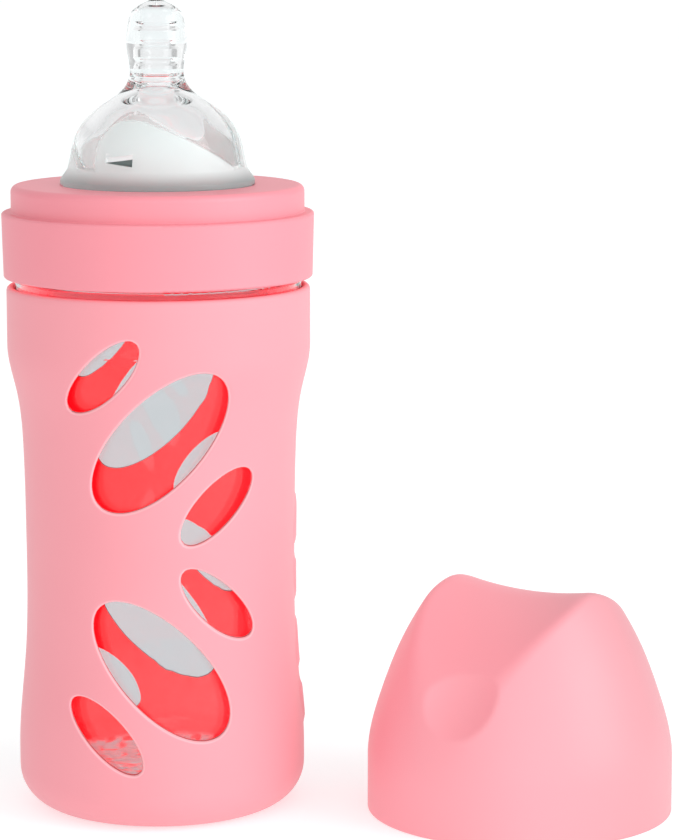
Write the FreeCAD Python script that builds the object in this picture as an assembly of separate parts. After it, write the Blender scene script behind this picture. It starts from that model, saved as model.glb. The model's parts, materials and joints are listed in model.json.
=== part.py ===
import FreeCAD, Part
import math
import os

# Baby bottle: a glass flask in a silicone sleeve, a silicone teat held on by a screw
# collar, and a travel cap standing beside it on its mouth.
# Millimetres, +Z up. The origin is on the flask's axis at floor level and -Y is the front.

# ---- clearances between neighbouring pieces ----
sleeve_fit = 0.05           # sleeve hugging the glass
seal_fit = 0.05             # teat flange between the glass rim and the collar
hole_fit = 0.3              # collar's hole round the teat's groove
thread_fit = 0.4            # thread crests to the wall across from them
cap_fit = 0.15              # cap's mouth over the collar's upper tier

# ---- sleeve: heights and outer radii up its side, from the foot to the shoulder ----
sleeve_height = 115.8
sleeve_wall = 1.8
sleeve_floor = 2.0
foot_height, foot_radius = 13.0, 31.7
calf_height, calf_radius = 34.0, 30.15
waist_height, waist_radius = 61.0, 29.65
chest_height, chest_radius = 80.0, 30.0
flare_height, flare_radius = 93.0, 31.35
shoulder_height, shoulder_radius = 103.0, 33.2
foot_round = 9.0
sleeve_lip_round = 0.8
lip_share = 0.45            # most of a thin wall that one of its lip's two roundings takes

# ---- windows through the sleeve's front and back ----
window_mid_height = 60.3    # the two groups mirror each other about this height
group_offset = 24.8         # from there to each group's long window
long_window = (19.0, 9.1)   # half length, half width
short_window = (10.35, 4.25)
short_offset = (11.9, 14.2) # across and up from the long window's centre
window_tilt = 47.0          # degrees from level

# ---- raised grip pads on the sleeve's right-hand side ----
pad_heights = (22.0, 36.0, 50.0, 64.0)
pad_size = (7.0, 3.2)       # half length round the side, half width
pad_tilt = 47.0
pad_relief = 0.45

# ---- glass flask ----
glass_wall = 2.2
glass_base = 4.5
glass_corner = 6.4          # inside corner at the foot
punt_radius = 15.0          # hollow under the base
punt_depth = 0.8
punt_run = 1.6              # width of the slope round the hollow
punt_round, heel_round = 2.0, 0.8
band_height = 1.9           # glass showing between the sleeve and the collar
shoulder_step = 2.15        # shoulder's outside down to the neck's outside
shoulder_gap = 0.2          # shoulder's top below the collar
shoulder_round = 1.5
neck_wall = 3.0
neck_rise = 1.6             # neck's foot above the collar's lower edge
neck_foot_round = 0.8
inner_shoulder_drop = 5.0   # inside, the neck narrows over this height
inner_neck_round, inner_shoulder_round = 3.0, 4.0
rim_round = 1.0

# ---- screw thread, right-handed ----
thread_lead = 4.5
thread_depth = 1.8
thread_root_width = 2.0
thread_crest_width = 1.2
neck_turns = 1.25
collar_turns = 1.0
thread_start = 3.3          # first thread's height above the collar's lower edge
thread_drop = 2.0           # collar's thread sits this far under the neck's thread
thread_sink = 0.3           # how far a thread's root is sunk into its wall

# ---- collar ----
skirt_height = 14.2
skirt_wall = 2.7
skirt_flare = 0.35          # wider at the top of the skirt than at the bottom
tier_height = 5.9
tier_wall = 2.2
tier_bore_gap = 0.2         # upper bore past the thread's clearance
plate_thickness = 2.0
ledge_thickness = 1.8       # under the step that the travel cap rests on
lead_in_width, lead_in_height = 0.8, 1.8
foot_edge, skirt_edge, step_edge, top_edge, hole_edge, bore_edge = 0.5, 0.6, 0.3, 1.5, 0.5, 0.5
plate_edge = 0.3
teat_hole_radius = 20.9

# ---- teat ----
flange_thickness = 2.1
flange_margin = 0.7         # flange's edge to the neck's outside
flange_round = 0.6
bead_overhang = 0.3         # bead over the collar's plate
bead_height = 1.1
skirt_inset = 1.3           # skirt's outside to the collar's hole
skirt_rise = 3.4            # skirt's height over the collar's top
teat_height = 40.0          # above the collar's top
teat_wall = 2.0
bulb_height = 28.0          # above the collar's top, where the nipple's neck is
breast_outside = ((1.6, 17.8), (4.4, 13.4), (9.0, 9.9))  # in from the skirt, under the bulb
breast_inside = ((1.7, 18.2), (4.6, 14.9), (9.4, 11.6))
nipple_neck_radius = 5.9
nipple_bulb_radius = 6.6
nipple_throat = (1.4, 7.3)  # wider than the neck, and how far under the bulb
neck_drop, bulb_rise = 4.3, 2.2
nipple_side = (0.5, 6.8)    # in from the bulb, and above it
nipple_brow = (1.2, 2.8)    # in from the bulb, and under the tip
nipple_crown = (3.4, 1.1)
nipple_bore_radius = 3.6
nipple_bore_drop = 7.5      # bore's foot under the bulb
nipple_tip_wall = 1.7
nipple_ring_count = 4
nipple_ring_start = 1.6
nipple_ring_relief = 0.35
nipple_ring_pitch = 3.7
feed_hole_radius = 0.4
vent_angle = -117.5         # degrees round the teat, from +X
vent_height = 6.9           # above the collar's top
vent_length = 6.4           # a wedge-shaped pocket in the skirt, seen from outside
vent_low_end, vent_tall_end = 0.3, 1.5
vent_depth = 1.2
vent_draw = 0.65            # how far the skirt has drawn in at the vent's height
vent_hole_radius = 0.3      # pin hole through the pocket's floor

# ---- travel cap, and where it stands ----
cap_place = (79.0, -12.0)
cap_ridge_angle = -39.6     # degrees from +X to the cap's top ridge
cap_wall = 1.5
cap_straight = 12.0         # plain wall before the dome begins
cap_shoulder = (26.6, 3.1)  # height, and how far the dome has come in
cap_cheek = (37.6, 7.4)
cap_brow = (44.4, 11.4)
cap_crest = (49.8, 15.6)
cap_apex_rise = 8.0         # where the dome would close, above the crest
cap_drop = 0.7              # inside, a station is lower by this share of the wall
cap_ridge_height = 49.3
scoop_radius = 45.0         # each scoop is the outside of a spool laid along the ridge
scoop_back = 9.7            # spool's axis past the cap's middle, away from its scoop
scoop_flare = 100.0         # how slowly the spool widens towards its ends
thumb_radius = 38.0         # ball that hollows each scoop's foot
thumb_depth = 1.3
thumb_shift = 4.0           # hollow's centre along the ridge, to the right in each scoop
thumb_rise = 31.0           # degrees up from level, seen from the spool's axis

# ---- values that follow ----
glass_offset = sleeve_wall + sleeve_fit
glass_radius = shoulder_radius - glass_offset
glass_bottom = sleeve_floor + sleeve_fit
glass_floor = glass_bottom + glass_base
neck_radius = glass_radius - shoulder_step
neck_bore = neck_radius - neck_wall
collar_bottom = sleeve_height + band_height
step_height = collar_bottom + skirt_height
collar_top = step_height + tier_height
flange_top = collar_top - plate_thickness - seal_fit
flange_bottom = flange_top - flange_thickness
rim_height = flange_bottom - seal_fit
skirt_bore = neck_radius + thread_depth + thread_fit
tier_bore = neck_radius + thread_fit + tier_bore_gap
skirt_radius = skirt_bore + skirt_wall
tier_radius = tier_bore + tier_wall
cap_bore = tier_radius + cap_fit
cap_radius = cap_bore + cap_wall
flange_radius = neck_radius - flange_margin
groove_radius = teat_hole_radius - hole_fit
bead_radius = teat_hole_radius + bead_overhang


def at(radius, height):
    return FreeCAD.Vector(radius, 0, height)


def rounded(*corners):
    """Edges of an open chain of corners (radius, height, rounding) in the XZ plane."""
    edges = []
    start = at(*corners[0][:2])
    for before, here, after in zip(corners, corners[1:], corners[2:]):
        corner, rounding = at(*here[:2]), here[2]
        back = (at(*before[:2]) - corner).normalize()
        ahead = (at(*after[:2]) - corner).normalize()
        half = back.getAngle(ahead) / 2
        trim = rounding / math.tan(half)
        middle = (back + ahead).normalize() * (rounding / math.sin(half) - rounding)
        edges.append(Part.makeLine(start, corner + back * trim))
        start = corner + ahead * trim
        if rounding:
            edges.append(Part.Arc(corner + back * trim, corner + middle, start).toShape())
    edges.append(Part.makeLine(start, at(*corners[-1][:2])))
    return edges


def smooth(points, first_way, last_way):
    """One smooth curve through the points, with its directions at both ends given."""
    curve = Part.BSplineCurve()
    ways = {"InitialTangent": at(*first_way), "FinalTangent": at(*last_way)}
    curve.interpolate([at(*point) for point in points], **ways)
    return curve.toShape()


def turned(face, axis):
    """The solid that a face sweeps in one full turn about an axis through the origin."""
    return Part.Solid(face.revolve(FreeCAD.Vector(0, 0, 0), axis, 360).Shells[0])


def lathe(*chains):
    """A solid turned about the Z axis from chains of edges that close one outline."""
    edges = [edge for chain in chains for edge in chain]
    face = Part.Face(Part.Wire(Part.__sortEdges__(edges)))
    return turned(face, FreeCAD.Vector(0, 0, 1))


def side(inset):
    """The bottle's side from foot to shoulder, moved in from the sleeve's outside."""
    stations = [
        (foot_radius, foot_height), (calf_radius, calf_height),
        (waist_radius, waist_height), (chest_radius, chest_height),
        (flare_radius, flare_height), (shoulder_radius, shoulder_height),
    ]
    points = [(radius - inset, height) for radius, height in stations]
    return smooth(points, (0, 1), (0, 1))


def ridge(radius, depth, start_height, turns, start_angle):
    """One turn or more of thread, standing out from a wall (or in, if depth is negative)."""
    sunk = math.copysign(thread_sink, depth)
    helix = Part.makeHelix(thread_lead, thread_lead * turns, radius)
    root, crest = thread_root_width / 2, thread_crest_width / 2
    profile = Part.makePolygon([
        at(radius - sunk, -root), at(radius, -root), at(radius + depth, -crest),
        at(radius + depth, crest), at(radius, root), at(radius - sunk, root),
        at(radius - sunk, -root),
    ])
    thread = Part.Wire(helix.Edges).makePipeShell([profile], True, False)
    thread.rotate(FreeCAD.Vector(0, 0, 0), FreeCAD.Vector(0, 0, 1), start_angle)
    thread.translate(FreeCAD.Vector(0, 0, start_height))
    return thread


# ---- glass flask ----
def glass_bottle():
    inside = glass_offset + glass_wall
    outer_foot = foot_radius - glass_offset
    inner_foot = foot_radius - inside
    inner_body = shoulder_radius - inside
    neck_foot = collar_bottom + neck_rise
    foot = rounded(
        (0, glass_bottom + punt_depth, 0), (punt_radius, glass_bottom + punt_depth, punt_round),
        (punt_radius + punt_run, glass_bottom, heel_round),
        (outer_foot, glass_bottom, foot_round - glass_offset), (outer_foot, foot_height, 0),
    )
    neck = rounded(
        (glass_radius, shoulder_height, 0),
        (glass_radius, collar_bottom - shoulder_gap, shoulder_round),
        (neck_radius, neck_foot, neck_foot_round), (neck_radius, rim_height, rim_round),
        (neck_bore, rim_height, rim_round), (neck_bore, neck_foot, inner_neck_round),
        (inner_body, neck_foot - inner_shoulder_drop, inner_shoulder_round),
        (inner_body, shoulder_height, 0),
    )
    inner_floor = rounded(
        (inner_foot, foot_height, 0), (inner_foot, glass_floor, glass_corner),
        (0, glass_floor, 0), (0, glass_bottom + punt_depth, 0),
    )
    flask = lathe(foot, [side(glass_offset)], neck, [side(inside)], inner_floor)
    first = collar_bottom + thread_start
    return flask.fuse(ridge(neck_radius, thread_depth, first, neck_turns, 0)).removeSplitter()


# ---- silicone sleeve ----
def oval(half_length, half_width, tilt, reach):
    """An oval bar lying along +Y from the axis, its long way tilted from level."""
    ring = Part.Ellipse(FreeCAD.Vector(0, 0, 0), half_length, half_width).toShape()
    bar = Part.Face(Part.Wire([ring])).extrude(FreeCAD.Vector(0, 0, reach))
    bar.rotate(FreeCAD.Vector(0, 0, 0), FreeCAD.Vector(0, 0, 1), tilt)
    bar.rotate(FreeCAD.Vector(0, 0, 0), FreeCAD.Vector(1, 0, 0), 90)
    return bar


def window_bars():
    """Bars through front and back, one for each window: three up, three mirrored down."""
    bars = []
    for way in (1, -1):
        centre = window_mid_height + way * group_offset
        across, up = short_offset
        places = [(0, 0, long_window), (-across, up, short_window), (across, -up, short_window)]
        for x, z, size in places:
            bar = oval(*size, way * window_tilt, 4 * shoulder_radius)
            bar.translate(FreeCAD.Vector(x, 2 * shoulder_radius, centre + way * z))
            bars.append(bar)
    return bars


def sleeve_blank(outset, inset, floor):
    """A cup with the sleeve's side line, between two offsets of its outside."""
    outer = foot_radius + outset
    inner = foot_radius - inset
    lip_round = min(sleeve_lip_round, lip_share * (outset + inset))
    low = rounded(
        (0, -outset, 0), (0, floor, 0), (inner, floor, foot_round - inset),
        (inner, foot_height, 0),
    )
    lip = rounded(
        (shoulder_radius - inset, shoulder_height, 0),
        (shoulder_radius - inset, sleeve_height, lip_round),
        (shoulder_radius + outset, sleeve_height, lip_round),
        (shoulder_radius + outset, shoulder_height, 0),
    )
    base = rounded(
        (outer, foot_height, 0), (outer, -outset, foot_round + outset), (0, -outset, 0),
    )
    return lathe(low, [side(inset)], lip, [side(-outset)], base)


def grip_pads():
    """Raised ovals up the right-hand side, following the sleeve's outside."""
    skin = sleeve_blank(pad_relief, sleeve_wall / 2, sleeve_wall / 2)
    pads = []
    for index, height in enumerate(pad_heights):
        tilt = pad_tilt if index % 2 else -pad_tilt
        bar = oval(*pad_size, tilt, 2 * shoulder_radius)
        bar.rotate(FreeCAD.Vector(0, 0, 0), FreeCAD.Vector(0, 0, 1), 90)
        bar.translate(FreeCAD.Vector(0, 0, height))
        pads.append(bar.common(skin))
    return pads


def silicone_sleeve():
    sleeve = sleeve_blank(0, sleeve_wall, sleeve_floor)
    sleeve = sleeve.fuse(grip_pads()).removeSplitter()
    return sleeve.cut(window_bars())


# ---- screw collar ----
def collar():
    hole = teat_hole_radius
    underside = collar_top - plate_thickness
    bore_top = step_height - ledge_thickness
    mouth = skirt_bore + lead_in_width
    outline = rounded(
        (mouth, collar_bottom, 0),
        (skirt_radius - skirt_flare, collar_bottom, foot_edge),
        (skirt_radius, step_height, skirt_edge), (tier_radius, step_height, step_edge),
        (tier_radius, collar_top, top_edge), (hole, collar_top, hole_edge),
        (hole, underside, plate_edge), (tier_bore, underside, bore_edge),
        (tier_bore, bore_top, step_edge), (skirt_bore, bore_top, bore_edge),
        (skirt_bore, collar_bottom + lead_in_height, bore_edge), (mouth, collar_bottom, 0),
    )
    cup = lathe(outline)
    first = collar_bottom + thread_start - thread_drop + thread_lead / 4
    return cup.fuse(ridge(skirt_bore, -thread_depth, first, collar_turns, 90)).removeSplitter()


# ---- teat ----
def teat_bore(low, tip):
    """The nipple's bore, with rings that keep it from closing when it is bent."""
    height = low + nipple_ring_start
    edges = [Part.makeLine(at(nipple_bore_radius, low), at(nipple_bore_radius, height))]
    for _ in range(nipple_ring_count):
        middle = at(nipple_bore_radius - nipple_ring_relief, height + nipple_ring_pitch / 4)
        end = at(nipple_bore_radius, height + nipple_ring_pitch / 2)
        edges.append(Part.Arc(at(nipple_bore_radius, height), middle, end).toShape())
        height += nipple_ring_pitch
        edges.append(Part.makeLine(end, at(nipple_bore_radius, height)))
    crown = at(0.8 * nipple_bore_radius, height + 0.65 * (tip - height))
    top = at(feed_hole_radius, tip)
    edges.append(Part.Arc(at(nipple_bore_radius, height), crown, top).toShape())
    return edges


def breast(radius, stations, lift):
    """Points up the breast, from the skirt's radius inwards and from the bulb down."""
    return [(radius - inward, lift - drop) for inward, drop in stations]


def teat():
    top = collar_top + teat_height
    over = collar_top + seal_fit
    skirt_top = over + skirt_rise
    outer_skirt = teat_hole_radius - skirt_inset
    inner_skirt = outer_skirt - teat_wall
    seat = rounded(
        (inner_skirt, flange_bottom, 0), (flange_radius, flange_bottom, flange_round),
        (flange_radius, flange_top, flange_round), (groove_radius, flange_top, 0.2),
        (groove_radius, over, 0.2), (bead_radius, over, 0.3),
        (bead_radius, over + bead_height, flange_round), (outer_skirt, skirt_top, 0),
    )
    lift = collar_top + bulb_height
    bulb = nipple_bulb_radius
    outside = smooth([
        (outer_skirt, skirt_top), *breast(outer_skirt, breast_outside, lift),
        (nipple_neck_radius + nipple_throat[0], lift - nipple_throat[1]),
        (nipple_neck_radius, lift - neck_drop), (bulb, lift + bulb_rise),
        (bulb - nipple_side[0], lift + nipple_side[1]),
        (bulb - nipple_brow[0], top - nipple_brow[1]),
        (bulb - nipple_crown[0], top - nipple_crown[1]), (feed_hole_radius, top),
    ], (-0.3, 1), (-1, 0))
    bore_low = lift - nipple_bore_drop
    bore_top = top - nipple_tip_wall
    inside = smooth([
        (inner_skirt, skirt_top), *breast(inner_skirt, breast_inside, lift),
        (nipple_bore_radius, bore_low),
    ], (-0.3, 1), (0, 1))
    hole = [Part.makeLine(at(feed_hole_radius, bore_top), at(feed_hole_radius, top))]
    skirt = [Part.makeLine(at(inner_skirt, skirt_top), at(inner_skirt, flange_bottom))]
    body = lathe(seat, [outside], hole, teat_bore(bore_low, bore_top), [inside], skirt)
    return vented(body, outer_skirt - vent_draw)


def vented(body, wall_radius):
    """Cuts the vent: a wedge-shaped pocket in the skirt, and a pin hole through its floor."""
    floor_radius = wall_radius - vent_depth
    half, low, tall = vent_length / 2, vent_low_end / 2, vent_tall_end / 2
    corners = [(-half, -low), (half, -tall), (half, tall), (-half, low), (-half, -low)]
    outline = Part.makePolygon([FreeCAD.Vector(floor_radius, y, z) for y, z in corners])
    pocket = Part.Face(outline).extrude(FreeCAD.Vector(2 * vent_depth + teat_wall, 0, 0))
    along = FreeCAD.Vector(1, 0, 0)
    start = FreeCAD.Vector(floor_radius - teat_wall, 0, 0)
    hole = Part.makeCylinder(vent_hole_radius, teat_wall + vent_depth, start, along)
    for tool in (pocket, hole):
        tool.rotate(FreeCAD.Vector(0, 0, 0), FreeCAD.Vector(0, 0, 1), vent_angle)
        tool.translate(FreeCAD.Vector(0, 0, collar_top + vent_height))
    return body.cut([pocket, hole])


# ---- travel cap ----
def dome(inset):
    """The cap's dome as if it had no scoops, moved in by a wall."""
    stations = [cap_shoulder, cap_cheek, cap_brow, cap_crest]
    wall = cap_radius - inset
    points = [(wall, cap_straight)]
    points += [(wall - inward, height - cap_drop * inset) for height, inward in stations]
    apex = (0, cap_crest[0] + cap_apex_rise - inset)
    shell = smooth(points + [apex], (0, 1), (-1, 0))
    corners = [at(*apex), at(0, 0), at(wall, 0), at(wall, cap_straight)]
    return lathe([shell], [Part.makeLine(a, b) for a, b in zip(corners, corners[1:])])


def scoop_axis_height():
    return cap_ridge_height - math.sqrt(scoop_radius ** 2 - scoop_back ** 2)


def spool(inset, way):
    """Laid along the ridge (X): its waist shapes the scoop on one side."""
    reach = 2 * cap_radius
    waist = scoop_radius - inset
    rise = scoop_flare - math.sqrt(scoop_flare ** 2 - reach ** 2)
    left = FreeCAD.Vector(-reach, waist + rise, 0)
    right = FreeCAD.Vector(reach, waist + rise, 0)
    arc = Part.Arc(left, FreeCAD.Vector(0, waist, 0), right).toShape()
    corners = [right, FreeCAD.Vector(reach, 0, 0), FreeCAD.Vector(-reach, 0, 0), left]
    edges = [arc] + [Part.makeLine(a, b) for a, b in zip(corners, corners[1:])]
    face = Part.Face(Part.Wire(Part.__sortEdges__(edges)))
    solid = turned(face, FreeCAD.Vector(1, 0, 0))
    solid.translate(FreeCAD.Vector(0, -way * scoop_back, scoop_axis_height()))
    return solid


def thumb_ball(inset, way):
    angle = math.radians(thumb_rise)
    reach = scoop_radius + thumb_radius - thumb_depth
    across = reach * math.cos(angle) - scoop_back
    height = reach * math.sin(angle) + scoop_axis_height()
    centre = FreeCAD.Vector(-way * thumb_shift, way * across, height)
    return Part.makeSphere(thumb_radius + inset, centre)


def cap_form(inset):
    """The cap's form at one offset: the dome, cut to both spools, hollowed by both balls."""
    form = dome(inset).common(spool(inset, 1)).common(spool(inset, -1))
    foot = Part.makeCylinder(cap_radius - inset, cap_straight)
    return form.fuse(foot).removeSplitter().cut([thumb_ball(inset, way) for way in (1, -1)])


def travel_cap():
    cap = cap_form(0).cut(cap_form(cap_wall))
    cap.rotate(FreeCAD.Vector(0, 0, 0), FreeCAD.Vector(0, 0, 1), cap_ridge_angle)
    cap.translate(FreeCAD.Vector(*cap_place, 0))
    return cap


def save(name, shape):
    solid = shape.Solids[0]
    solid.exportStep("parts/" + name + ".step")
    print(name, len(shape.Solids), "solid", round(solid.Volume), "mm3")


os.makedirs("parts", exist_ok=True)
save("glass_bottle", glass_bottle())
save("silicone_sleeve", silicone_sleeve())
save("collar", collar())
save("teat", teat())
save("travel_cap", travel_cap())
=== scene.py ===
import json
import math
import bmesh
import bpy
import numpy as np
from mathutils import Matrix, Vector

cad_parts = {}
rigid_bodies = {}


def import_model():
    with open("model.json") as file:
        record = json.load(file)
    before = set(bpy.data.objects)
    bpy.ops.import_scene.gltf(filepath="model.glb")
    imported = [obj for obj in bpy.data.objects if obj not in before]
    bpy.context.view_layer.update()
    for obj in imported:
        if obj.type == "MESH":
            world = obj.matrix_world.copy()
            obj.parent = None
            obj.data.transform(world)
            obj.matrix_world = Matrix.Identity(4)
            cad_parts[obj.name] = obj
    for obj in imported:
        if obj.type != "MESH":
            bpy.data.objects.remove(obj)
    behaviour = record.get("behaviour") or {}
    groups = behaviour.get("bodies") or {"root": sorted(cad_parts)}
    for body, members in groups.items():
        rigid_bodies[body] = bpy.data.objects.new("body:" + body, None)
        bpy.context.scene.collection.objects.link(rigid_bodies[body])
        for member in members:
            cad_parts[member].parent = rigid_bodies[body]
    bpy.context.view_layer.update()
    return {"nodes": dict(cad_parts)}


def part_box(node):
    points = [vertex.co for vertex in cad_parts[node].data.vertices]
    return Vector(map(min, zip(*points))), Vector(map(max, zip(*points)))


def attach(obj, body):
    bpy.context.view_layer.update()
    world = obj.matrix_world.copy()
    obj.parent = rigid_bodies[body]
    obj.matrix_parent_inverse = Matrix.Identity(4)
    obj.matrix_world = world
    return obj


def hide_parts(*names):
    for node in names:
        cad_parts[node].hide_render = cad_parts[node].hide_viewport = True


for start_object in list(bpy.data.objects):
    bpy.data.objects.remove(start_object)
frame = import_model()
mm = 0.001

# ---------------------------------------------------------------- studio
# A white sweep, a room that is bright in front and on the right and dimmer on the left and
# overhead, and a large soft lamp on the right. The camera is a little above the bottle.
bpy.context.scene.view_settings.view_transform = "Standard"

eye = Vector((0.0, -0.71298, 0.19639))
pitch, yaw = math.radians(8.84), math.radians(3.187)
look = Vector((math.sin(yaw) * math.cos(pitch), math.cos(yaw) * math.cos(pitch), -math.sin(pitch)))
camera_data = bpy.data.cameras.new("camera")
camera_data.sensor_width = 36.0
camera_data.lens = 140.03
camera_data.clip_start = 0.01
camera = bpy.data.objects.new("camera", camera_data)
camera.location = eye
camera.rotation_euler = look.to_track_quat("-Z", "Y").to_euler()
bpy.context.scene.collection.objects.link(camera)
bpy.context.scene.camera = camera


class Socket:
    """A shader socket. Maths written on it adds Math nodes to the finish that owns it."""

    def __init__(self, finish, socket):
        self.finish = finish
        self.socket = socket

    def maths(self, operation, *others):
        return self.finish.node("Math", dict(enumerate((self, *others))), operation=operation)

    def __add__(self, other):
        return self.maths("ADD", other)

    def __sub__(self, other):
        return self.maths("SUBTRACT", other)

    def __rsub__(self, other):
        return self.finish.node("Math", {0: other, 1: self}, operation="SUBTRACT")

    def __mul__(self, other):
        return self.maths("MULTIPLY", other)

    def __pow__(self, other):
        return self.maths("POWER", other)

    __radd__ = __add__
    __rmul__ = __mul__


class Finish:
    """The nodes of a material, or of a world. Every node comes from node(), settings first."""

    def __init__(self, name, kind="materials"):
        self.owner = getattr(bpy.data, kind).new(name)
        self.owner.use_nodes = True
        self.tree = self.owner.node_tree
        self.tree.nodes.clear()

    def node(self, kind, sockets, pick=0, **settings):
        made = self.tree.nodes.new("ShaderNode" + kind)
        for name, value in settings.items():
            setattr(made, name, value)
        for name, value in sockets.items():
            if isinstance(value, Socket):
                self.tree.links.new(value.socket, made.inputs[name])
            else:
                made.inputs[name].default_value = value
        return Socket(self, made.outputs[pick]) if len(made.outputs) else None

    def place(self, axis=None):
        """Object coordinates, or one of them."""
        place = self.node("TexCoord", {}, pick="Object")
        return self.node("SeparateXYZ", {"Vector": place}, pick=axis) if axis else place

    def blend(self, mask, first, second):
        return self.node("Mix", {0: mask, 6: first, 7: second}, pick=2, data_type="RGBA")

    def step(self, value, low, high):
        """0 below low, 1 above high, and a smooth change between them."""
        return self.node("MapRange", {"Value": value, "From Min": low, "From Max": high},
                         interpolation_type="SMOOTHSTEP")

    def done(self, surface, output="OutputMaterial"):
        self.node(output, {"Surface": surface})
        return self.owner


def room_light():
    """The room's brightness by direction, with a dark card far out on either side."""
    finish = Finish("room", "worlds")
    way = finish.node("TexCoord", {}, pick="Generated")

    def towards(x, y, z):
        aim = tuple(Vector((x, y, z)).normalized())
        return finish.node("VectorMath", {0: way, 1: aim}, pick="Value", operation="DOT_PRODUCT")

    strength = 1.0 - 0.4 * finish.step(towards(0, 0, 1), 0.25, 0.95)
    strength = strength + 0.45 * finish.step(towards(0.4, -0.9, 0.25), 0.2, 1.0)
    strength = strength - 0.55 * finish.step(towards(-1, 0.25, 0.12), 0.85, 0.95)
    strength = strength - 0.45 * finish.step(towards(0.85, 0.6, 0.12), 0.86, 0.96)
    light = finish.node("Background", {"Color": (1, 1, 1, 1), "Strength": strength})
    return finish.done(light, "OutputWorld")


def soft_lamp(name, place, target, size, watts):
    lamp = bpy.data.lights.new(name, "AREA")
    lamp.shape = "RECTANGLE"
    lamp.size, lamp.size_y = size
    lamp.energy = watts
    holder = bpy.data.objects.new(name, lamp)
    holder.location = place
    holder.rotation_euler = (Vector(target) - Vector(place)).to_track_quat("-Z", "Y").to_euler()
    bpy.context.scene.collection.objects.link(holder)


def sweep_finish():
    finish = Finish("studio_sweep")
    return finish.done(finish.node("BsdfPrincipled", {
        "Base Color": (0.61, 0.66, 0.66, 1), "Roughness": 0.8, "Specular IOR Level": 0.0,
        "Emission Color": (1, 1, 1, 1), "Emission Strength": 0.51}))


bpy.context.scene.world = room_light()
soft_lamp("key_lamp", (0.85, -0.5, 0.45), (0.03, 0, 0.08), (0.6, 0.8), 4.0)

sweep_half = 30.0
sweep_mesh = bmesh.new()
bmesh.ops.create_grid(sweep_mesh, x_segments=1, y_segments=1, size=sweep_half)
sweep_data = bpy.data.meshes.new("sweep")
sweep_mesh.to_mesh(sweep_data)
sweep_mesh.free()
sweep_data.materials.append(sweep_finish())
sweep = bpy.data.objects.new("sweep", sweep_data)
bpy.context.scene.collection.objects.link(sweep)


# ---------------------------------------------------------------- glass flask
# The flask is pressed glass, open at a wide neck with a screw thread. Only its base, the
# stretches behind the sleeve's windows and a narrow band under the collar are in view.
glass_tint = (0.745, 0.75, 0.765, 1)
rippled_to, smooth_from = 4.8 * mm, 7.8 * mm


def glass_finish():
    """Clear and faintly grey, with a rippled foot whose ridges carry a whitish painted glow, a painted
    highlight for the light they catch. Its shadow stays light.
    """
    finish = Finish("pressed_glass")
    waves = finish.node("TexNoise", {"Vector": finish.place(), "Scale": 260.0, "Detail": 1.0})
    near_base = 1 - finish.step(finish.place("Z"), rippled_to, smooth_from)
    bump = finish.node("Bump", {"Height": waves * near_base, "Strength": 0.9, "Distance": 1.2 * mm})
    glass = finish.node("BsdfPrincipled", {
        "Base Color": glass_tint, "Roughness": 0.0, "IOR": 1.5, "Transmission Weight": 1.0,
        "Specular IOR Level": 0.3, "Normal": bump})
    white = finish.node("BsdfPrincipled", {
        "Base Color": (0.5, 0.6, 0.6, 1), "Roughness": 0.4,
        "Emission Color": (0.9, 0.85, 0.88, 1), "Emission Strength": 0.45})
    # Painted highlight: a whitish, faintly glowing shader on the foot's ridges, over the real ripple
    # bump.
    ridges = near_base * finish.step(waves, 0.34, 0.52) * 0.85
    glass = finish.node("MixShader", {0: ridges, 1: glass, 2: white})
    through = finish.node("BsdfTransparent", {"Color": glass_tint})
    shadow = finish.node("LightPath", {}, pick="Is Shadow Ray")
    return finish.done(finish.node("MixShader", {0: shadow, 1: glass, 2: through}))


frame["nodes"]["glass_bottle"].data.materials[0] = glass_finish()


# ---------------------------------------------------------------- silicone sleeve
# One stretch moulding of matte pink silicone that grips the flask from floor to shoulder.
# Oval windows go through the front and the back, each with a softly rounded lip, and raised
# ovals up the right-hand side give a grip.
def curve(points, first_way, last_way, count):
    """A smooth curve through (radius, height) points, as count + 1 points along it."""
    points = np.array(points, float)
    gaps = np.linalg.norm(np.diff(points, axis=0), axis=1)
    size = len(points)
    bends, sides = np.eye(size), np.zeros((size, 2))
    sides[0] = np.array(first_way) / np.linalg.norm(first_way)
    sides[-1] = np.array(last_way) / np.linalg.norm(last_way)
    for i in range(1, size - 1):
        before, after = gaps[i - 1], gaps[i]
        bends[i, i - 1:i + 2] = after, 2 * (before + after), before
        rise = (points[i] - points[i - 1]) * after / before
        sides[i] = 3 * (rise + (points[i + 1] - points[i]) * before / after)
    ways = np.linalg.solve(bends, sides)
    starts = np.concatenate([[0], np.cumsum(gaps)])
    found = []
    for along in np.linspace(0, starts[-1], count + 1):
        i = min(np.searchsorted(starts, along, side="right") - 1, size - 2)
        t = (along - starts[i]) / gaps[i]
        start_share, end_share = 2 * t**3 - 3 * t**2 + 1, 3 * t**2 - 2 * t**3
        start_pull, end_pull = gaps[i] * (t**3 - 2 * t**2 + t), gaps[i] * (t**3 - t**2)
        spot = start_share * points[i] + end_share * points[i + 1]
        found.append(spot + start_pull * ways[i] + end_pull * ways[i + 1])
    return [tuple(spot) for spot in found]


def rounded(corners, steps=6):
    """A chain of (radius, height) points; a corner's third number is its rounding."""
    points = [tuple(corners[0][:2])]
    for before, here, after in zip(corners, corners[1:], corners[2:]):
        corner = Vector(here[:2])
        back = (Vector(before[:2]) - corner).normalized()
        ahead = (Vector(after[:2]) - corner).normalized()
        half = back.angle(ahead) / 2
        rounding = here[2] if len(here) > 2 else 0
        if not rounding:
            points.append(tuple(corner))
            continue
        centre = corner + (back + ahead).normalized() * rounding / math.sin(half)
        start = corner + back * rounding / math.tan(half) - centre
        end = corner + ahead * rounding / math.tan(half) - centre
        for step in range(steps + 1):
            points.append(tuple(centre + start.slerp(end, step / steps).normalized() * rounding))
    return points + [tuple(corners[-1][:2])]


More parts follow.
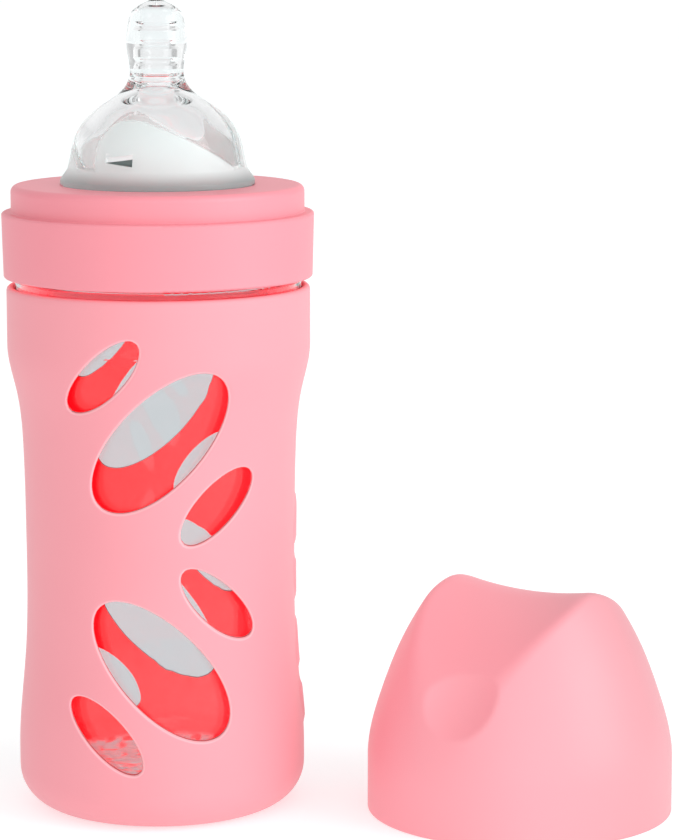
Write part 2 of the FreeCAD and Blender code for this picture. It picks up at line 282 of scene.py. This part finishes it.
def turned(outline, steps, inner_from=None):
    """A shell turned about the Z axis from (radius, height) points. Those from inner_from on
    are marked as its inside."""
    mesh = bmesh.new()
    inside = mesh.verts.layers.float.new("inside")
    chain = [mesh.verts.new((radius, 0, height)) for radius, height in outline]
    for vert in chain[inner_from or len(chain):]:
        vert[inside] = 1.0
    for a, b in zip(chain, chain[1:]):
        mesh.edges.new((a, b))
    bmesh.ops.spin(mesh, geom=mesh.verts[:] + mesh.edges[:], cent=(0, 0, 0), axis=(0, 0, 1),
                   angle=2 * math.pi, steps=steps, use_merge=True)
    bmesh.ops.remove_doubles(mesh, verts=mesh.verts, dist=0.001 * mm)
    return mesh


def piece(name, mesh, body, node, material, crease=40):
    """Makes a finished mesh an object that rides on its body and stands for its node."""
    for face in mesh.faces:
        face.smooth = True
    for edge in mesh.edges:
        edge.smooth = edge.calc_face_angle(0) < math.radians(crease)
    data = bpy.data.meshes.new(name)
    mesh.to_mesh(data)
    mesh.free()
    data.materials.append(material)
    made = bpy.data.objects.new(name, data)
    bpy.context.scene.collection.objects.link(made)
    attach(made, body)
    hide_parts(node)
    return made


sleeve_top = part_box("silicone_sleeve")[1].z
sleeve_wall = 1.8 * mm
foot_radius, foot_height, foot_round = 31.7 * mm, 13 * mm, 9 * mm
shoulder_radius, shoulder_height = 33.2 * mm, 103 * mm
straight_from = 100 * mm        # from here up the wall is measured straight towards the axis
rim_steps = 6
window_tilt = math.radians(47)
window_lip = 0.6 * mm
lip_mark = 0.12                 # value of the attribute "inside" on a window's lip
sheet_cell = 0.85 * mm
snap = 0.3 * sheet_cell         # a point this near to a window's edge is moved onto it
side_line = curve([
    (foot_radius, foot_height), (30.15 * mm, 34 * mm), (29.65 * mm, 61 * mm), (30 * mm, 80 * mm),
    (31.35 * mm, 93 * mm), (shoulder_radius, shoulder_height),
], (0, 1), (0, 1), 96)
side_radii, side_heights = np.array(side_line).T


def sleeve_radius(height):
    return float(np.interp(height, side_heights, side_radii))


class Window:
    """An oval through the wall. Seen along Y it has a place, two half sizes and a tilt."""

    nearby, elsewhere = 1.7, 9.0

    def __init__(self, x, z, half_length, half_width, tilt, side):
        self.x, self.z, self.side = x, z, side
        self.half = (half_length + window_lip, half_width + window_lip)
        self.cos, self.sin = math.cos(tilt), math.sin(tilt)
        self.rim = []

    def local(self, spot, inward=0.0):
        x, z = spot.x - self.x, spot.z - self.z
        along, across = x * self.cos + z * self.sin, z * self.cos - x * self.sin
        return along / (self.half[0] - inward), across / (self.half[1] - inward)

    def reach(self, spot):
        """1 on the window's edge, less inside it, and far over 1 on the other side."""
        return math.hypot(*self.local(spot)) if spot.y * self.side > 0 else self.elsewhere

    def spot(self, angle, inward, depth):
        """The point at an angle round the window, moved in from its edge and into the wall."""
        along = (self.half[0] - inward) * math.cos(angle)
        across = (self.half[1] - inward) * math.sin(angle)
        x = self.x + along * self.cos - across * self.sin
        z = self.z + along * self.sin + across * self.cos
        return Vector((x, self.side * math.sqrt((sleeve_radius(z) - depth)**2 - x * x), z))

    def angle(self, spot, inward=0.0):
        along, across = self.local(spot, inward)
        return math.atan2(across, along)

    def cut(self, mesh):
        """Opens the window in a sheet: the sheet's lines end on the oval itself."""
        near = [v for v in mesh.verts if self.reach(v.co) < self.nearby]
        rim = set()
        for vert in near:
            reach = self.reach(vert.co)
            away = abs(reach - 1) / reach * math.hypot(vert.co.x - self.x, vert.co.z - self.z)
            if away < snap:
                rim.add(vert)
        for vert in rim:
            vert.co = self.spot(self.angle(vert.co), 0, 0)
        for edge in {e for v in near for e in v.link_edges}:
            first, second = edge.verts
            if first in rim or second in rim:
                continue
            a, b = self.reach(first.co) - 1, self.reach(second.co) - 1
            if a * b < 0:
                vert = bmesh.utils.edge_split(edge, first, a / (a - b))[1]
                vert.co = self.spot(self.angle(vert.co), 0, 0)
                rim.add(vert)
        bmesh.ops.connect_verts(mesh, verts=list(rim))
        inside = [f for f in {f for v in near + list(rim) if v.is_valid for f in v.link_faces}
                  if self.reach(f.calc_center_median()) < 1]
        bmesh.ops.delete(mesh, geom=inside, context="FACES")
        self.rim = [v for v in rim if v.is_valid and v.link_faces]

    def wall(self, mesh, loop):
        """Rounds the lip over and carries the wall in to the sleeve's inside."""
        inner = mesh.verts.layers.float["inside"]
        rings = [(math.sin(a) * window_lip, (1 - math.cos(a)) * window_lip)
                 for a in (math.pi / 6, math.pi / 3, math.pi / 2)]
        before = 0.0
        for inward, depth in rings + [(window_lip, sleeve_wall)]:
            made = bmesh.ops.extrude_edge_only(mesh, edges=loop)["geom"]
            loop = [g for g in made if isinstance(g, bmesh.types.BMEdge)]
            for vert in [g for g in made if isinstance(g, bmesh.types.BMVert)]:
                vert.co = self.spot(self.angle(vert.co, before), inward, depth)
                vert[inner] = 1.0 if depth == sleeve_wall else lip_mark
            before = inward


def sleeve_windows():
    """Three windows rising to the right, and their mirror image below, front and back. The
    back ones sit a little aside and a little higher."""
    middle, offset = 60.3 * mm, 24.8 * mm
    across, up = 11.9 * mm, 14.2 * mm
    long_half, short_half = (19 * mm, 9.1 * mm), (10.35 * mm, 4.25 * mm)
    windows = []
    for side, aside, higher in ((-1, 0, 0), (1, -1.0 * mm, 0.9 * mm)):
        for way in (1, -1):
            centre = middle + way * offset + higher
            for x, z, half in ((0, 0, long_half), (-across, up, short_half), (across, -up, short_half)):
                windows.append(Window(x + aside, centre + way * z, *half, way * window_tilt, side))
    return windows


def raise_grips(verts):
    """Four soft-edged ovals stand out from the right-hand side."""
    relief, long_half, short_half = 0.45 * mm, 7.0 * mm, 3.2 * mm
    outer_edge, fade = 1.08, 0.3
    for index, height in enumerate((22 * mm, 36 * mm, 50 * mm, 64 * mm)):
        tilt = window_tilt if index % 2 else -window_tilt
        for vert in verts:
            across, up = vert.co.y, vert.co.z - height
            if vert.co.x < 0 or abs(across) > long_half or abs(up) > long_half:
                continue
            along = across * math.cos(tilt) + up * math.sin(tilt)
            beside = up * math.cos(tilt) - across * math.sin(tilt)
            reach = math.hypot(along / long_half, beside / short_half)
            share = min(max((outer_edge - reach) / fade, 0), 1)
            out = Vector((vert.co.x, vert.co.y, 0)).normalized()
            vert.co += out * relief * share * share * (3 - 2 * share)


def round_rim(mesh, loop, rim_height):
    """Rounds the sleeve's top edge over, from the outside to the inside."""
    inner = mesh.verts.layers.float["inside"]
    for step in range(1, rim_steps + 1):
        made = bmesh.ops.extrude_edge_only(mesh, edges=loop)["geom"]
        loop = [g for g in made if isinstance(g, bmesh.types.BMEdge)]
        turn = math.pi * step / rim_steps
        radius = shoulder_radius - sleeve_wall / 2 * (1 - math.cos(turn))
        for vert in [g for g in made if isinstance(g, bmesh.types.BMVert)]:
            out = Vector((vert.co.x, vert.co.y, 0)).normalized() * radius
            vert.co = (out.x, out.y, rim_height + sleeve_wall / 2 * math.sin(turn))
            vert[inner] = 1.0 if step == rim_steps else 0.0


def sleeve_mesh():
    """An outer sheet with the windows cut in it, its copy inside, and the edges between."""
    rim_height = sleeve_top - sleeve_wall / 2
    foot = rounded([(0, 0), (foot_radius, 0, foot_round), (foot_radius, foot_height)], 14)
    flat = [(r * mm, 0) for r in (6, 12, 18)]
    top = [(shoulder_radius, z) for z in np.linspace(shoulder_height, rim_height, 13)[1:]]
    mesh = turned(foot[:1] + flat + foot[1:-1] + side_line + top, 240)
    bmesh.ops.recalc_face_normals(mesh, faces=mesh.faces)
    highest = max(mesh.faces, key=lambda f: f.calc_center_median().z)
    if highest.normal.dot(highest.calc_center_median()) < 0:
        bmesh.ops.reverse_faces(mesh, faces=mesh.faces)
    windows = sleeve_windows()
    for window in windows:
        window.cut(mesh)
    mesh.normal_update()
    inner = mesh.verts.layers.float["inside"]
    outside = mesh.verts[:]
    copied = bmesh.ops.duplicate(mesh, geom=mesh.verts[:] + mesh.edges[:] + mesh.faces[:])
    rim_windows = {vert: window for window in windows for vert in window.rim}
    pairs = copied["vert_map"]
    for vert in outside:
        twin = pairs[vert]
        twin[inner] = 1.0
        if vert in rim_windows:
            window = rim_windows[vert]
            twin.co = window.spot(window.angle(vert.co), window_lip, sleeve_wall)
        elif vert.co.z > straight_from:
            twin.co = vert.co - Vector((vert.co.x, vert.co.y, 0)).normalized() * sleeve_wall
        else:
            twin.co = vert.co - vert.normal * sleeve_wall
    inner_faces = [g for g in copied["geom"] if isinstance(g, bmesh.types.BMFace)]
    bmesh.ops.reverse_faces(mesh, faces=inner_faces)
    raise_grips(outside)
    outer_set = set(outside)
    open_edges = [e for e in mesh.edges if e.is_boundary and e.verts[0] in outer_set]
    for window in windows:
        own = set(window.rim)
        window.wall(mesh, [e for e in open_edges if e.verts[0] in own and e.verts[1] in own])
    loop = [e for e in open_edges if min(v.co.z for v in e.verts) > rim_height - 0.1 * mm]
    round_rim(mesh, loop, rim_height)
    bmesh.ops.remove_doubles(mesh, verts=mesh.verts, dist=0.02 * mm)
    bmesh.ops.recalc_face_normals(mesh, faces=mesh.faces)
    return mesh


def sleeve_finish():
    """Matte pink, with a painted highlight on the window lips, painted shade on the cut edges and a
    painted red glow inside that stands in for light coming through the silicone.
    """
    finish = Finish("sleeve_silicone_look")
    painted_lip_highlight, painted_cut_shade = (0.95, 0.45, 0.49, 1), (0.45, 0.02, 0.035, 1)
    place = finish.place()
    mark = finish.node("Attribute", {}, pick="Fac", attribute_name="inside")
    inside = finish.step(mark, 0.9, 1.0)
    cloud = finish.node("TexNoise", {"Vector": place, "Scale": 45.0, "Detail": 3.0})
    grain = finish.node("TexNoise", {"Vector": place, "Scale": 5200.0, "Detail": 2.0})
    pink = finish.blend(cloud, (0.86, 0.31, 0.355, 1), (0.88, 0.335, 0.38, 1))
    # Painted highlight on the window lips, and painted shade on the cut walls between them and the
    # inside.
    colour = finish.blend(finish.step(mark, 0.0, lip_mark), pink, painted_lip_highlight)
    colour = finish.blend(finish.step(mark, lip_mark, 0.5), colour, painted_cut_shade)
    bump = finish.node("Bump", {"Height": grain, "Strength": 0.25, "Distance": 0.02 * mm})
    # Painted light: the glow inside is deeper red on the left, lighter on the right where more light
    # comes in, and weaker above the windows.
    right = finish.step(finish.place("X"), -24 * mm, 14 * mm)
    glow = finish.blend(right, (1.0, 0.0, 0.004, 1), (1.0, 0.018, 0.024, 1))
    low = inside * (1 - 0.3 * finish.step(finish.place("Z"), 98 * mm, 112 * mm))
    glow = finish.blend(low, (0, 0, 0, 1), glow)
    shader = finish.node("BsdfPrincipled", {
        "Base Color": colour, "Roughness": 0.52 + cloud * 0.12, "Normal": bump,
        "Sheen Weight": 0.15, "Sheen Roughness": 0.5, "Specular IOR Level": 0.35,
        "Emission Color": glow, "Emission Strength": 2.15})
    return finish.done(shader)


piece("sleeve", sleeve_mesh(), "bottle", "silicone_sleeve", sleeve_finish(), 70)


# ---------------------------------------------------------------- screw collar
# A matte pink plastic ring in two tiers. It screws onto the neck and holds the teat's
# flange down through its central hole. The ledge between the tiers carries the cap.
def plastic_finish(name, rough, tone):
    """A finely grained plastic. tone() gives its colour and any painted glow."""
    finish = Finish(name)
    grain = finish.node("TexNoise", {"Vector": finish.place(), "Scale": 3600.0, "Detail": 3.0})
    bump = finish.node("Bump", {"Height": grain, "Strength": 0.2, "Distance": 0.02 * mm})
    return finish.done(finish.node("BsdfPrincipled", {
        "Roughness": rough + grain * 0.1, "Normal": bump, **tone(finish)}))


def collar_tone(finish):
    """Pink, and in the collar's bore a painted red glow for the light that comes through the plastic.
    """
    cloud = finish.node("TexNoise", {"Vector": finish.place(), "Scale": 30.0, "Detail": 2.0})
    pink = finish.blend(cloud, (0.845, 0.265, 0.315, 1), (0.865, 0.29, 0.34, 1))
    x, y = finish.place("X"), finish.place("Y")
    radius = (x * x + y * y)**0.5
    # Painted light: the red glow in the bore, fading out towards the top.
    bore = 1 - finish.step(radius, 32.2 * mm, 33.2 * mm)
    bore = bore * (1 - finish.step(finish.place("Z"), 126 * mm, 131 * mm))
    return {"Base Color": pink, "Emission Strength": 1.2,
            "Emission Color": finish.blend(bore, (0, 0, 0, 1), (1.0, 0.06, 0.08, 1))}


frame["nodes"]["collar"].data.materials[0] = plastic_finish("collar_plastic_look", 0.42, collar_tone)


# ---------------------------------------------------------------- teat
# One moulding of clear silicone: a flange and a groove that sit in the collar, a frosted
# skirt with a wedge-shaped vent pocket, three frosted petals that twist up the clear dome,
# and a ringed nipple.
teat_low, teat_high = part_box("teat")
collar_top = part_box("collar")[1].z
teat_hole, skirt_inset = 20.9 * mm, 1.3 * mm
petal_half, petal_lean = math.radians(54), math.radians(-30)
petal_start, petal_period = math.radians(-83), 2 * math.pi / 3
petal_foot, petal_tip = collar_top + 4.2 * mm, collar_top + 15.0 * mm
petal_relief = 0.4 * mm


def petal_share(angle, height):
    """How far inside a petal a point of the dome is, in radians: below 0 is outside."""
    rise = min(max((height - petal_foot) / (petal_tip - petal_foot), 0.0), 1.0)
    off = angle - petal_start - petal_lean * rise + petal_period / 2
    off = off % petal_period - petal_period / 2
    return petal_half * math.sqrt(1 - rise) - abs(off)


def teat_outline():
    """The half section as (radius, height) points, and the stretch of it inside the dome."""
    flange, groove, bead = 28.5 * mm, teat_hole - 0.3 * mm, teat_hole + 0.3 * mm
    flange_bottom = teat_low.z
    flange_top = flange_bottom + 2.1 * mm
    over = collar_top + 0.05 * mm
    skirt = over + 3.4 * mm
    outer_skirt, wall = teat_hole - skirt_inset, 2.0 * mm
    inner_skirt = outer_skirt - wall
    lift = collar_top + 28 * mm
    neck, bulb, bore, feed = 5.9 * mm, 6.6 * mm, 3.6 * mm, 0.15 * mm
    seat = rounded([
        (inner_skirt, flange_bottom), (flange, flange_bottom, 0.6 * mm),
        (flange, flange_top, 0.6 * mm), (groove, flange_top, 0.2 * mm),
        (groove, over, 0.2 * mm), (bead, over, 0.3 * mm),
        (bead, over + 1.1 * mm, 0.6 * mm), (outer_skirt, skirt),
    ], 4)
    breast = curve([
        (outer_skirt, skirt), (outer_skirt - 1.6 * mm, lift - 17.8 * mm),
        (outer_skirt - 4.4 * mm, lift - 13.4 * mm), (outer_skirt - 9 * mm, lift - 9.9 * mm),
        (neck + 1.4 * mm, lift - 7.3 * mm), (neck, lift - 4.3 * mm),
        (bulb, lift + 2.2 * mm), (bulb - 0.5 * mm, lift + 6.8 * mm),
        (bulb - 1.2 * mm, teat_high.z - 2.8 * mm), (bulb - 3.4 * mm, teat_high.z - 1.1 * mm),
        (feed, teat_high.z),
    ], (-0.3, 1), (-1, 0), 110)
    low, tip = lift - 7.5 * mm, teat_high.z - 1.7 * mm
    inside = curve([
        (inner_skirt, skirt), (inner_skirt - 1.7 * mm, lift - 18.2 * mm),
        (inner_skirt - 4.6 * mm, lift - 14.9 * mm), (inner_skirt - 9.4 * mm, lift - 11.6 * mm),
        (bore, low),
    ], (-0.3, 1), (0, 1), 44)
    nipple = []
    ring_count, ring_start, ring_pitch, ring_relief = 4, low + 1.6 * mm, 3.7 * mm, 0.35 * mm
    for height in np.linspace(low, ring_start + ring_count * ring_pitch, 83)[1:]:
        beat = (height - ring_start) % ring_pitch / (ring_pitch / 2)
        ring = math.sin(math.pi * beat) if height > ring_start and beat < 1 else 0
        nipple.append((bore - ring_relief * ring, height))
    crown_low = nipple[-1][1]
    crown = [(feed + (bore - feed) * math.cos(turn), crown_low + (tip - crown_low) * math.sin(turn))
             for turn in np.linspace(0, math.pi / 2, 9)[1:]]
    bore_wall = inside[1:] + nipple + crown
    back_down = [(inner_skirt, skirt - 2 * mm), (inner_skirt, flange_bottom)]
    return seat + breast[1:] + bore_wall[::-1] + back_down, inside


def teat_mesh():
    """The moulding, with the petals standing out a little inside the dome."""
    outline, inside = teat_outline()
    mesh = turned(outline, 192)
    inner_radii, inner_heights = np.array(inside).T
    for vert in mesh.verts:
        radius = math.hypot(vert.co.x, vert.co.y)
        if not petal_foot - 6 * mm < vert.co.z < petal_tip:
            continue
        if radius > np.interp(vert.co.z, inner_heights, inner_radii) + 0.3 * mm:
            continue
        share = petal_share(math.atan2(vert.co.y, vert.co.x), vert.co.z) / math.radians(3)
        share = min(max(share, 0.0), 1.0)
        scale = (radius - petal_relief * share) / radius
        vert.co.x, vert.co.y = vert.co.x * scale, vert.co.y * scale
    bmesh.ops.recalc_face_normals(mesh, faces=mesh.faces)
    return mesh


vent_turn = Matrix.Rotation(math.radians(-116), 3, "Z")
vent_height = collar_top + 6.9 * mm
skirt_lean, vent_depth = 0.65 * mm, 1.2 * mm
vent_floor = teat_hole - skirt_inset - skirt_lean - vent_depth


def vent_mesh():
    """The wedge that the vent's pocket is cut with."""
    half, reach = 3.2 * mm, 6 * mm
    mesh = bmesh.new()
    corners = [(-half, -1.2 * mm), (half, -1.95 * mm), (half, 0.75 * mm), (-half, -0.05 * mm)]
    floor = mesh.faces.new([mesh.verts.new((vent_floor, y, z)) for y, z in corners])
    out = bmesh.ops.extrude_face_region(mesh, geom=[floor])["geom"]
    moved = [g for g in out if isinstance(g, bmesh.types.BMVert)]
    bmesh.ops.translate(mesh, verts=moved, vec=(reach, 0, 0))
    bmesh.ops.recalc_face_normals(mesh, faces=mesh.faces)
    bmesh.ops.rotate(mesh, verts=mesh.verts, cent=(0, 0, 0), matrix=vent_turn)
    bmesh.ops.translate(mesh, verts=mesh.verts, vec=(0, 0, vent_height))
    return mesh


def cut_from(made, mesh):
    """Cuts a mesh out of a piece, and applies the cut."""
    data = bpy.data.meshes.new("cutter")
    mesh.to_mesh(data)
    mesh.free()
    cutter = bpy.data.objects.new("cutter", data)
    bpy.context.scene.collection.objects.link(cutter)
    cut = made.modifiers.new("cut", "BOOLEAN")
    cut.object, cut.operation, cut.solver = cutter, "DIFFERENCE", "EXACT"
    evaluated = made.evaluated_get(bpy.context.evaluated_depsgraph_get())
    result = bpy.data.meshes.new_from_object(evaluated)
    made.modifiers.clear()
    made.data = result
    bpy.data.objects.remove(cutter)


def frosted_part(finish, height):
    """1 on the skirt and on the petals, 0 on the clear silicone between and above them."""
    rise = finish.node("MapRange", {"Value": height, "From Min": petal_foot, "From Max": petal_tip})
    angle = finish.place("Y").maths("ARCTAN2", finish.place("X"))
    angle = angle - petal_start - rise * petal_lean + petal_period / 2
    off = (angle.maths("FLOORED_MODULO", petal_period) - petal_period / 2).maths("ABSOLUTE")
    petal = finish.step((1 - rise)**0.5 * petal_half - off, 0.0, math.radians(5))
    petal = petal * (1 - finish.step(height, petal_tip - 0.6 * mm, petal_tip))
    skirt = 1 - finish.step(height, petal_foot - 0.8 * mm, petal_foot + 0.6 * mm)
    return petal.maths("MAXIMUM", skirt)


def pocket_part(finish, beside, pocket_rise):
    """1 on the walls and the floor of the vent's pocket, 0 elsewhere."""
    outward = vent_turn @ Vector((1, 0, 0))
    depth = finish.place("X") * outward.x + finish.place("Y") * outward.y
    pocket = 1 - finish.step(beside.maths("ABSOLUTE"), 3.15 * mm, 3.3 * mm)
    middle_off = (pocket_rise + 0.6 * mm).maths("ABSOLUTE")
    pocket = pocket * (1 - finish.step(middle_off, 1.4 * mm, 1.5 * mm))
    pocket = pocket * finish.step(depth, vent_floor - 0.2 * mm, vent_floor - 0.1 * mm)
    return pocket * (1 - finish.step(depth, vent_floor + 0.5 * mm, vent_floor + 0.9 * mm))


def teat_finish():
    """Clear silicone, milky where it is frosted, with painted shade just above the collar, and in the
    vent's pocket painted shade below its lip and a painted highlight above.
    """
    finish = Finish("teat_silicone_look")
    height = finish.place("Z")
    frost = frosted_part(finish, height)
    # Painted shade: the milky silicone darkens to grey just above the collar.
    edge = 1 - finish.step(height, collar_top + 0.5 * mm, collar_top + 4.0 * mm)
    across = vent_turn @ Vector((0, 1, 0))
    beside = finish.place("X") * across.x + finish.place("Y") * across.y
    pocket_rise = height - vent_height
    pocket = pocket_part(finish, beside, pocket_rise)
    grain = finish.node("TexNoise", {"Vector": finish.place(), "Scale": 2600.0, "Detail": 2.0})
    bump = finish.node("Bump", {"Height": grain * frost, "Strength": 0.3, "Distance": 0.03 * mm})
    clear = finish.node("BsdfPrincipled", {
        "Base Color": (0.915, 0.925, 0.93, 1), "Roughness": 0.02, "IOR": 1.41,
        "Transmission Weight": 1.0, "Normal": bump})
    milky = finish.node("BsdfPrincipled", {
        "Base Color": finish.blend(edge, (0.83, 0.90, 0.895, 1), (0.30, 0.355, 0.355, 1)),
        "Roughness": 0.5, "IOR": 1.41, "Normal": bump})
    seep = finish.node("BsdfTranslucent", {"Color": (0.78, 0.93, 0.92, 1)})
    milky = finish.node("MixShader", {0: 0.35, 1: milky, 2: seep})
    # Painted shade in the vent's pocket below its middle line, with a painted highlight above it.
    above = finish.step(pocket_rise - beside * 0.14, -0.78 * mm, -0.62 * mm)
    pocket_shade_and_highlight = finish.blend(above, (0.05, 0.08, 0.075, 1), (0.95, 0.97, 0.97, 1))
    pocket_shade_and_highlight = finish.node("BsdfPrincipled", {"Base Color": pocket_shade_and_highlight, "Roughness": 0.3})
    body = finish.node("MixShader", {0: frost * 0.8, 1: clear, 2: milky})
    body = finish.node("MixShader", {0: pocket * 0.9, 1: body, 2: pocket_shade_and_highlight})
    through = finish.node("BsdfTransparent", {"Color": (0.93, 0.94, 0.94, 1)})
    shadow = finish.node("LightPath", {}, pick="Is Shadow Ray")
    return finish.done(finish.node("MixShader", {0: shadow, 1: body, 2: through}))


teat_moulding = piece("teat_moulding", teat_mesh(), "teat", "teat", teat_finish())
cut_from(teat_moulding, vent_mesh())


# ---------------------------------------------------------------- travel cap
# A frosted pink dome that clicks over the collar's upper tier. Two thumb scoops on opposite
# sides leave a ridge over the top, and here it stands beside the bottle on its mouth.
cap_low, cap_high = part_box("travel_cap")
cap_wall = 1.5 * mm
cap_radius = 33.65 * mm
cap_straight = 12 * mm
ridge_height = 49.3 * mm
scoop_radius, scoop_back, scoop_flare = 45 * mm, 9.7 * mm, 100 * mm
scoop_axis = ridge_height - math.sqrt(scoop_radius**2 - scoop_back**2)
thumb_radius, thumb_depth, thumb_rise = 26 * mm, 2.0 * mm, math.radians(31)
thumb_shift = 4.0 * mm
scoop_blend, thumb_blend = 0.04, 0.0015
cap_turn = math.radians(-39.6)
cap_place = ((cap_low.x + cap_high.x) / 2, (cap_low.y + cap_high.y) / 2, cap_low.z)


def soft_least(a, b, blend):
    """The smaller of two arrays, with the crossing rounded over."""
    share = np.clip(0.5 + 0.5 * (b - a) / blend, 0, 1)
    return b + (a - b) * share - blend * share * (1 - share)


def scoop(verts, inset):
    """Draws the dome's points towards its middle, down to the scoops' surfaces."""
    heart = np.array([0, 0, cap_straight])
    verts = [v for v in verts if v.co.z > cap_straight + 0.5 * mm]
    rays = np.array([v.co for v in verts]) - heart
    share = np.ones(len(rays))
    for way in (1, -1):
        low, high = np.zeros(len(rays)), np.full(len(rays), 1.5)
        for _ in range(40):
            middle = (low + high) / 2
            spot = heart + rays * middle[:, None]
            across, up = spot[:, 1] + way * scoop_back, spot[:, 2] - scoop_axis
            flare = scoop_flare - np.sqrt(scoop_flare**2 - spot[:, 0]**2)
            within = np.hypot(across, up) < scoop_radius - inset + flare
            low, high = np.where(within, middle, low), np.where(within, high, middle)
        share = soft_least(share, low, scoop_blend)
    length = scoop_radius + thumb_radius - thumb_depth
    for way in (1, -1):
        ball = np.array([-way * thumb_shift, way * (length * math.cos(thumb_rise) - scoop_back),
                         length * math.sin(thumb_rise) + scoop_axis]) - heart
        dots, sizes = rays @ ball, np.sum(rays**2, axis=1)
        inner = dots**2 - sizes * (ball @ ball - (thumb_radius + inset)**2)
        meet = np.where((inner > 0) & (dots > 0), (dots - np.sqrt(np.maximum(inner, 0))) / sizes, 2.0)
        share = soft_least(share, meet, thumb_blend)
    for vert, ray, part in zip(verts, rays, share):
        vert.co = Vector(heart + ray * part)


def cap_mesh():
    """The dome and its inside with the scoops drawn in, placed beside the bottle."""
    def dome(inset):
        wall = cap_radius - inset
        stations = [(26.6, 3.1), (37.6, 7.4), (44.4, 11.1), (49.8, 14.9)]
        points = [(wall, cap_straight)]
        points += [(wall - inward * mm, height * mm - 0.7 * inset) for height, inward in stations]
        line = curve(points + [(0, 57.8 * mm - inset)], (0, 1), (-1, 0), 90)
        return [(wall, z) for z in np.linspace(1 * mm, cap_straight, 12)[:-1]] + line

    rim = rounded([(cap_radius, cap_straight), (cap_radius, 0, 0.45 * mm),
                   (cap_radius - cap_wall, 0, 0.45 * mm), (cap_radius - cap_wall, cap_straight)], 3)
    outer = dome(0)[::-1]
    inner_from = len(outer) + len(rim) - 3
    mesh = turned(outer + rim[1:-1] + dome(cap_wall), 256, inner_from)
    inside = mesh.verts.layers.float["inside"]
    scoop([v for v in mesh.verts if v[inside] < 0.5], 0)
    scoop([v for v in mesh.verts if v[inside] > 0.5], cap_wall)
    bmesh.ops.recalc_face_normals(mesh, faces=mesh.faces)
    bmesh.ops.rotate(mesh, verts=mesh.verts, cent=(0, 0, 0),
                     matrix=Matrix.Rotation(cap_turn, 3, "Z"))
    bmesh.ops.translate(mesh, verts=mesh.verts, vec=cap_place)
    return mesh


def cap_tone(finish):
    """Painted light: paler on the right, where light comes through the frosted dome."""
    right = finish.step(finish.place("X"), 72 * mm, 106 * mm)
    return {"Base Color": finish.blend(right, (0.93, 0.355, 0.405, 1), (0.70, 0.30, 0.335, 1))}


piece("travel_cap_shell", cap_mesh(), "cap", "travel_cap",
      plastic_finish("cap_plastic_look", 0.4, cap_tone))
